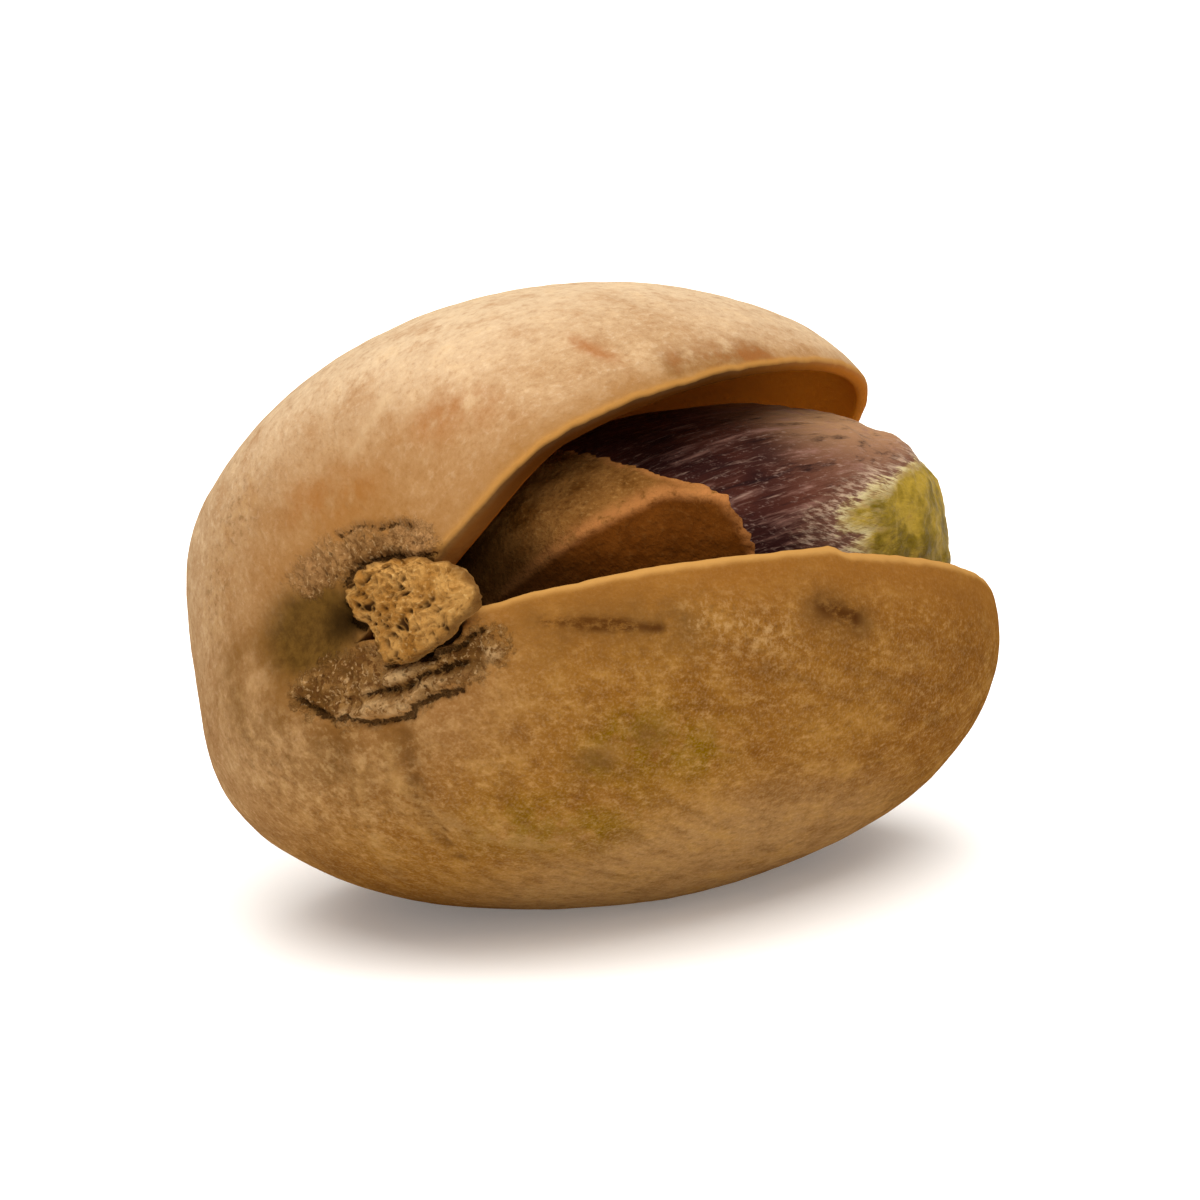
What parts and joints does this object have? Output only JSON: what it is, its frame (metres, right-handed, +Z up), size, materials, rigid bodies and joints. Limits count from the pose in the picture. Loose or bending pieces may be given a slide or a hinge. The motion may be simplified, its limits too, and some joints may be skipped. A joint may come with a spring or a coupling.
{
  "type": "pistachio in shell",
  "caption": "Split pistachio nut lying on its side: a hard tan shell gaping along its seam round a purple-brown kernel with a green tip, loose papery skin and a corky stem scar.",
  "frame": {"origin": "on the surface that the nut lies on, under the middle of its box", "axes": "+Z up from the surface, +X along the nut from its stem end to its tip, -Y towards the near side, where the gape is widest"},
  "size_m": [0.022, 0.015, 0.0148],
  "materials": {
    "shell": "smooth matt tan nutshell with pale speckle and olive and brown stains",
    "kernel": "purple-brown seed coat with pale fibres and a yellow-green tip",
    "seed_skin": "dry papery brown skin",
    "stem_plug": "rough corky fibres"
  },
  "bodies": {
    "root": {"shell": "shell", "kernel": "kernel", "seed_skin": "seed_skin", "stem_plug": "stem_plug"}
  },
  "joints": []
}
